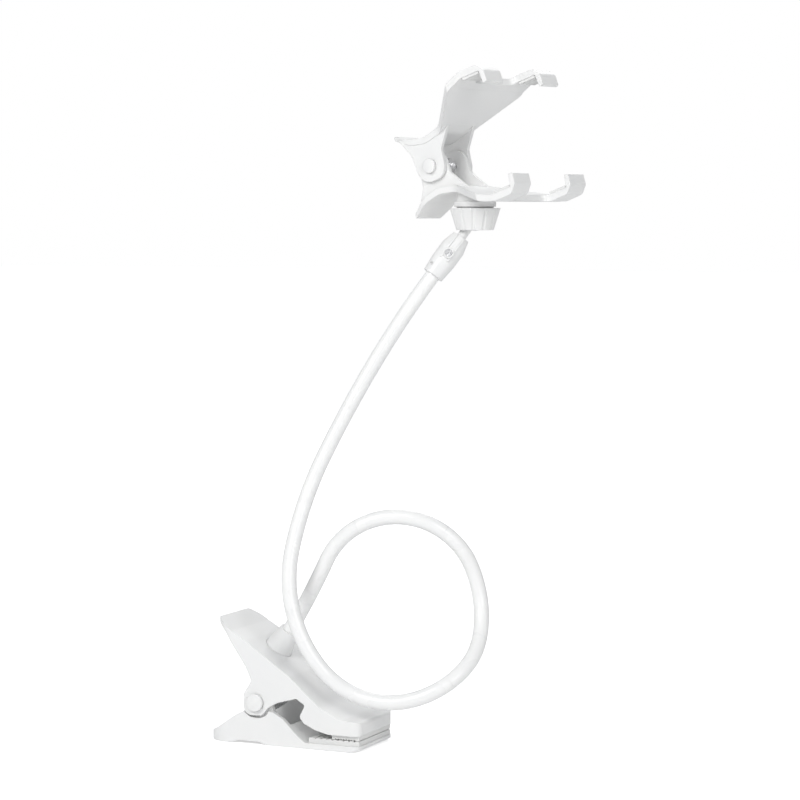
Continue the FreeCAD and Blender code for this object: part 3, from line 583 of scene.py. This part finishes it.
@dataclass
class Gooseneck:
    """The smooth sleeve over the gooseneck, which bends where the sections meet.

    Each section is (length in mm, bend in degrees, turn of the bend's plane in degrees from the
    plane of the one before). foot_length and head_length are whole millimetres of plain sleeve.
    """

    radius: float = 4.5 * MM
    step: float = 0.7 * MM
    root: Vector = field(default_factory=lambda: Vector((-13.7, 0.0, 54.2)) * MM)
    lean: float = math.radians(33.8)
    root_lift: float = 6.0 * MM
    bend_reach: float = 11.0 * MM
    foot_length: int = 5
    head_length: int = 8
    joint_slack: float = 0.1 * MM
    sections: tuple[tuple[float, float, float], ...] = (
        (56.0, 8.0, 173.0),
        (57.0, 69.0, -157.0),
        (51.0, 65.0, 9.0),
        (54.0, 72.0, -72.0),
        (56.0, 79.0, 79.0),
        (58.0, 64.0, -58.0),
        (71.0, 49.0, 28.0),
        (59.0, 15.0, -15.0),
        (62.0, 5.0, -5.0),
        (62.0, 6.0, 1.0),
    )

    def section_lines(self) -> list[list[tuple[Vector, Vector]]]:
        """Works out the middle line of each section.

        Returns:
            For each section its points from the clamp's end on, each with the line's direction there.
        """
        axis = Vector((math.sin(self.lean), 0.0, math.cos(self.lean)))
        origin = self.root + axis * self.root_lift
        side = Vector((axis.z, 0.0, -axis.x))
        way = axis
        lines = []
        for length, bend, turn in self.sections:
            side = Quaternion(way, math.radians(turn)) @ side
            normal = way.cross(side)
            angle = math.radians(bend)
            radius = length * MM / angle
            count = max(4, 2 * round(length * MM / self.step / 2.0))
            line = []
            for i in range(count + 1):
                part = angle * i / count
                point = origin + way * (radius * math.sin(part)) + side * (radius * (1.0 - math.cos(part)))
                line.append((point, Quaternion(normal, part) @ way))
            lines.append(line)
            origin = line[-1][0]
            side = Quaternion(normal, angle) @ side
            way = line[-1][1]
        return lines

    def build(self, frame: dict[str, Any], paint: Paintbox) -> None:
        """Makes the sleeve, one length over each joint and one at each end."""
        tree = tube_tree()
        tube = Tube(self.radius, 40, Finish.SLEEVE)
        lines = self.section_lines()
        count = len(lines)
        for number in range(2, count + 1):
            joint = Vector(joint_named(frame, f"neck_bend_{number:02d}")["pos_m"])
            gap = (joint - lines[number - 1][0][0]).length
            if gap > self.joint_slack:
                raise RuntimeError(f"section {number} starts {gap:.4f} m from its joint")
        halves = [len(line) // 2 for line in lines]
        axis = lines[0][0][1]
        foot = [self.root + axis * (k * MM) for k in range(1, self.foot_length + 1)]
        first = foot + [p for p, _ in lines[0][: halves[0] + 1]]
        piece = tube.piece("sleeve_foot", first, tree, paint)
        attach(piece, "upper")
        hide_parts("neck_sleeve_01")
        bodies = ["upper"] + [f"neck_{k:02d}" for k in range(2, count + 1)]
        for k in range(count - 1):
            before, after = lines[k], lines[k + 1]
            points = [p for p, _ in before[halves[k]:]] + [p for p, _ in after[1: halves[k + 1] + 1]]
            piece = tube.piece(f"sleeve_length_{k + 2:02d}", points, tree, paint)
            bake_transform(piece)
            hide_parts(f"neck_sleeve_{k + 2:02d}")
            LOG.info("sleeve over joint %d: %d points", k + 2, len(points))
        end_point, end_way = lines[-1][-1]
        head = [end_point + end_way * (k * MM) for k in range(1, self.head_length + 1)]
        last = [p for p, _ in lines[-1][halves[-1]:]] + head
        piece = tube.piece("sleeve_head", last, tree, paint)
        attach(piece, bodies[-1])


# ---------------------------------------------------------------------------
# Table clamp and phone clip
# ---------------------------------------------------------------------------


@dataclass(frozen=True)
class PinCap:
    """A low white moulded cap over one end of a pin."""

    radius: float
    skirt: float
    rise: float
    edge: float = 0.5 * MM

    def build(self, name: str, body: str, face: Vector, way: Vector, paint: Paintbox) -> None:
        """Makes the cap.

        Args:
            name: The cap's name.
            body: The body that it rides.
            face: Where the pin's axis leaves the wall that the cap stands on.
            way: The direction out of the wall.
            paint: The finishes.
        """
        edge = self.edge
        profile = [(0.0, 0.0), (self.radius, 0.0), (self.radius, self.skirt - edge)]
        for i in range(1, 5):
            angle = math.pi / 2.0 * i / 4.0
            out, up = 1.0 - math.cos(angle), 1.0 - math.sin(angle)
            profile.append((self.radius - edge * out, self.skirt - edge * up))
        inner = self.radius - edge
        for i in range(1, 9):
            part = i / 8.0
            profile.append((inner * (1.0 - part), self.skirt + self.rise * (1.0 - (1.0 - part) ** 2)))
        piece = mesh_piece(name, lathe(profile, placed(face, way, Vector((0.0, 0.0, 1.0)))))
        paint.paint(piece, Finish.PLASTIC)
        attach(piece, body)
        LOG.info("%s", name)


@dataclass(frozen=True)
class TorsionCoil:
    """A spring wound round a pin, with a straight leg against each of the two levers that it turns."""

    name: str
    node: str
    bodies: tuple[str, str]
    wire: float
    coil: float
    first: float
    last_bend: float
    legs: tuple[float, float]
    turns: int = 5
    play: float = 0.1 * MM
    steps_a_turn: int = 40
    blend_share: float = 0.8

    def points(self, place: Matrix) -> list[Vector]:
        """Works out the wire's middle line.

        Args:
            place: The pin's middle, with its Y along the pin.

        Returns:
            The points from the first leg's end to the last leg's end.
        """
        pitch = 2.0 * self.wire + self.play
        y = Vector((math.cos(self.first + math.pi), 0.0, math.sin(self.first + math.pi)))
        x = Vector((y.z, 0.0, -y.x))
        z = x.cross(y)
        start = Vector((0.0, self.turns * pitch / 2.0, 0.0))
        line = [start + x * self.coil - y * self.legs[0]]
        count = self.turns * self.steps_a_turn
        for i in range(count + 1):
            angle = 2.0 * math.pi * i / self.steps_a_turn
            spoke = x * math.cos(angle) + y * math.sin(angle)
            line.append(start + spoke * self.coil + z * (pitch * i / self.steps_a_turn))
        top = start + z * (pitch * self.turns)
        arc = max(2, round(self.steps_a_turn * self.last_bend / (2.0 * math.pi)))
        for i in range(1, arc + 1):
            angle = self.last_bend * i / arc
            line.append(top + (x * math.cos(angle) + y * math.sin(angle)) * self.coil)
        way = y * math.cos(self.last_bend) - x * math.sin(self.last_bend)
        line.append(line[-1] + way * self.legs[1])
        return [place @ point for point in line]

    def build(self, place: Matrix, paint: Paintbox) -> None:
        """Makes the spring.

        Args:
            place: The pin's middle, with its Y along the pin.
            paint: The finishes.
        """
        tube = Tube(self.wire, 16, Finish.STEEL)
        piece = tube.piece(self.name, self.points(place), tube_tree(), paint)
        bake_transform(piece)
        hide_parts(self.node)
        LOG.info("%s", self.name)


@dataclass
class TableClamp:
    """The clamp's own details."""

    half_width: float = 24.0 * MM
    wall_gap: float = 0.05 * MM
    cap: PinCap = PinCap(radius=5.2 * MM, skirt=2.6 * MM, rise=0.5 * MM)
    coil: TorsionCoil = TorsionCoil(
        name="clamp_coil",
        node="clamp_spring",
        bodies=("base", "upper"),
        wire=1.2 * MM,
        coil=5.8 * MM,
        first=math.radians(212.0),
        last_bend=math.radians(90.0),
        legs=(17.0 * MM, 30.0 * MM),
    )

    def build(self, frame: dict[str, Any], paint: Paintbox) -> None:
        """Makes the caps over the clamp's pin and the spring between its levers."""
        pivot = Vector(joint_named(frame, "clamp_hinge")["pos_m"])
        self.coil.build(Matrix.Translation(pivot), paint)
        for word, side in SIDES:
            way = Vector((0.0, side, 0.0))
            face = pivot + way * (self.half_width + self.wall_gap)
            self.cap.build(f"clamp_pin_cover_{word}", "base", face, way, paint)


@dataclass
class PhoneClip:
    """The clip's own details."""

    lean: float = math.radians(18.5)
    turn: float = math.radians(-11.4)
    depth: float = 57.0 * MM
    half_gap: float = 33.5 * MM
    jaw_width: float = 76.0 * MM
    finger: float = 17.0 * MM
    pad_depth: float = 11.6 * MM
    flange_half: float = 14.75 * MM
    finger_inset: float = 5.0 * MM
    pad_margin: float = 1.3 * MM
    rib_count: int = 8
    rib_width: float = 0.55 * MM
    rib_rise: float = 0.45 * MM
    rib_root: float = 0.3 * MM
    rib_margin: float = 3.0 * MM
    cap: PinCap = PinCap(radius=4.2 * MM, skirt=2.3 * MM, rise=0.4 * MM)
    coil: TorsionCoil = TorsionCoil(
        name="clip_coil",
        node="clip_spring",
        bodies=("clip_lower", "clip_upper"),
        wire=0.8 * MM,
        coil=4.2 * MM,
        first=math.radians(219.0),
        last_bend=math.radians(102.0),
        legs=(15.0 * MM, 15.0 * MM),
    )

    def place(self, frame: dict[str, Any]) -> Matrix:
        """The clip's own frame: its middle, with X towards the screen and Z up the phone's back."""
        turn = Matrix.Rotation(self.turn, 3, "Z") @ Matrix.Rotation(-self.lean, 3, "Y")
        pivot = Vector(joint_named(frame, "clip_hinge")["pos_m"])
        matrix = turn.to_4x4()
        matrix.translation = pivot + turn @ Vector((self.depth, 0.0, 0.0))
        return matrix

    def rib(self, length: float, place: Matrix) -> bpy.types.Object:
        """Makes one rounded rib along place's Y, standing on its XY plane."""
        form = bmesh.new()
        outline = []
        for i in range(7):
            angle = math.pi * i / 6.0
            outline.append((self.rib_width * math.cos(angle), self.rib_rise * math.sin(angle)))
        root = -self.rib_root
        outline = [(self.rib_width, root)] + outline + [(-self.rib_width, root)]
        ends = []
        for y in (-length / 2.0, length / 2.0):
            ends.append([form.verts.new(place @ Vector((x, y, z))) for x, z in outline])
        count = len(outline)
        for i in range(count):
            j = (i + 1) % count
            form.faces.new([ends[0][i], ends[0][j], ends[1][j], ends[1][i]])
        form.faces.new(ends[0])
        form.faces.new(ends[1])
        return mesh_piece("rib", form)

    def caps(self, clip: Matrix, paint: Paintbox) -> None:
        """Makes the caps over the clip's pin."""
        for word, side in SIDES:
            way = clip.to_3x3() @ Vector((0.0, side, 0.0))
            face = clip @ Vector((-self.depth, side * self.flange_half, 0.0))
            self.cap.build(f"clip_pin_cover_{word}", "clip_lower", face, way, paint)

    def build(self, frame: dict[str, Any], paint: Paintbox) -> None:
        """Makes the caps over the pin, the spring and the ribs on the four grip pads."""
        tree = row_tree()
        clip = self.place(frame)
        self.caps(clip, paint)
        self.coil.build(clip @ Matrix.Translation((-self.depth, 0.0, 0.0)), paint)
        step = (self.pad_depth - 2.0 * self.pad_margin) / (self.rib_count - 1)
        for jaw, side, body in (("upper", 1.0, "clip_upper"), ("lower", -1.0, "clip_lower")):
            for word, way in (("left", 1.0), ("right", -1.0)):
                y = way * (self.jaw_width - self.finger) / 2.0
                corner = Vector((self.pad_margin - self.finger_inset, y, side * self.half_gap))
                flip = Matrix.Rotation(math.pi if side > 0 else 0.0, 4, "Y")
                length = self.finger - self.rib_margin
                rib = self.rib(length, clip @ Matrix.Translation(corner) @ flip)
                along = clip.to_3x3() @ Vector((step, 0.0, 0.0))
                values = {
                    "Count": self.rib_count,
                    "Step": tuple(along),
                    "Material": paint.materials[Finish.PAD],
                }
                piece = run_tree(rib, tree, values, f"{jaw}_grip_ribs_{word}")
                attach(piece, body)
                LOG.info("ribs on the %s jaw's %s finger", jaw, word)


# ---------------------------------------------------------------------------
# Studio
# ---------------------------------------------------------------------------


@dataclass
class Studio:
    """A pale floor, soft light all round and the camera."""

    lens: float = 121.3
    azimuth: float = math.radians(24.5)
    elevation: float = math.radians(4.0)
    eye: Vector = field(default_factory=lambda: Vector((0.70999, -1.41477, 0.3126)))
    floor_half: float = 12.0
    floor_drop: float = 0.05 * MM
    floor_lift: float = 0.55
    glow: float = 0.50

    def floor(self) -> None:
        """Makes the floor."""
        form = bmesh.new()
        bmesh.ops.create_grid(form, x_segments=4, y_segments=4, size=self.floor_half)
        piece = mesh_piece("floor", form)
        piece.location.z = -self.floor_drop
        material = bpy.data.materials.new("pale_floor")
        material.use_nodes = True
        nodes, links = material.node_tree.nodes, material.node_tree.links
        shader = nodes["Principled BSDF"]
        shader.inputs["Roughness"].default_value = 0.7
        shader.inputs["Specular IOR Level"].default_value = 0.1
        shader.inputs["Emission Color"].default_value = (1.0, 1.0, 1.0, 1.0)
        rays = nodes.new("ShaderNodeLightPath")
        lift = nodes.new("ShaderNodeMath")
        lift.operation = "MULTIPLY"
        lift.inputs[1].default_value = self.floor_lift
        links.new(rays.outputs["Is Camera Ray"], lift.inputs[0])
        links.new(lift.outputs["Value"], shader.inputs["Emission Strength"])
        noise = nodes.new("ShaderNodeTexNoise")
        noise.inputs["Scale"].default_value = 3.0
        place = nodes.new("ShaderNodeTexCoord")
        ramp = nodes.new("ShaderNodeValToRGB")
        ramp.color_ramp.elements[0].color = (0.93, 0.93, 0.93, 1.0)
        ramp.color_ramp.elements[1].color = (0.96, 0.96, 0.96, 1.0)
        links.new(place.outputs["Object"], noise.inputs["Vector"])
        links.new(noise.outputs["Fac"], ramp.inputs["Fac"])
        links.new(ramp.outputs["Color"], shader.inputs["Base Color"])
        piece.data.materials.append(material)

    def sky(self) -> None:
        """Lights the scene from all round, and shows white behind everything."""
        world = bpy.data.worlds.new("studio")
        bpy.context.scene.world = world
        world.use_nodes = True
        nodes, links = world.node_tree.nodes, world.node_tree.links
        glow = nodes["Background"]
        glow.inputs["Color"].default_value = (0.97, 0.985, 1.0, 1.0)
        glow.inputs["Strength"].default_value = self.glow
        seen = nodes.new("ShaderNodeBackground")
        seen.inputs["Color"].default_value = (1.0, 1.0, 1.0, 1.0)
        seen.inputs["Strength"].default_value = 1.0
        rays = nodes.new("ShaderNodeLightPath")
        pick = nodes.new("ShaderNodeMixShader")
        links.new(rays.outputs["Is Camera Ray"], pick.inputs["Fac"])
        links.new(glow.outputs["Background"], pick.inputs[1])
        links.new(seen.outputs["Background"], pick.inputs[2])
        links.new(pick.outputs["Shader"], nodes["World Output"].inputs["Surface"])

    def lamp(self, name: str, place: Vector, aim: Vector, size: float, watts: float) -> None:
        """Adds a large soft lamp at place that faces aim."""
        light = bpy.data.lights.new(name, "AREA")
        light.shape = "DISK"
        light.size = size
        light.energy = watts
        lamp = bpy.data.objects.new(name, light)
        lamp.location = place
        lamp.rotation_euler = (aim - place).to_track_quat("-Z", "Y").to_euler()
        bpy.context.scene.collection.objects.link(lamp)

    def camera(self) -> None:
        """Places the camera."""
        a, e = self.azimuth, self.elevation
        right = Vector((math.cos(a), math.sin(a), 0.0))
        back = Vector((math.sin(a) * math.cos(e), -math.cos(a) * math.cos(e), math.sin(e)))
        up = back.cross(right)
        turn = Matrix((right, up, back)).transposed()
        lens = bpy.data.cameras.new("camera")
        lens.lens = self.lens
        lens.sensor_width = 36.0
        lens.clip_start = 0.01
        eye = bpy.data.objects.new("camera", lens)
        eye.matrix_world = Matrix.Translation(self.eye) @ turn.to_4x4()
        bpy.context.scene.collection.objects.link(eye)
        bpy.context.scene.camera = eye

    def build(self) -> None:
        """Makes the whole studio."""
        self.floor()
        self.sky()
        middle = Vector((0.05, 0.02, 0.2))
        self.lamp("key", Vector((-0.2, -1.7, 1.3)), middle, 0.9, 19.0)
        self.lamp("fill", Vector((1.5, -1.2, 0.9)), middle, 0.8, 9.0)
        self.lamp("rim", Vector((-0.4, 1.7, 1.6)), middle, 1.2, 9.0)
        self.camera()
        bpy.context.scene.view_settings.view_transform = "Standard"


def main(frame: dict[str, Any]) -> None:
    """Builds the stand's visible pieces round the fixed frame."""
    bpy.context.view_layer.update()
    Studio().build()
    paint = Paintbox()
    paint.fill()
    paint.paint_nodes(frame)
    LOG.info("painted %d nodes", len(frame["nodes"]))
    Gooseneck().build(frame, paint)
    TableClamp().build(frame, paint)
    PhoneClip().build(frame, paint)
    LOG.info("all pieces built")


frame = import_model()
if __name__ == "__main__":
    main(frame)
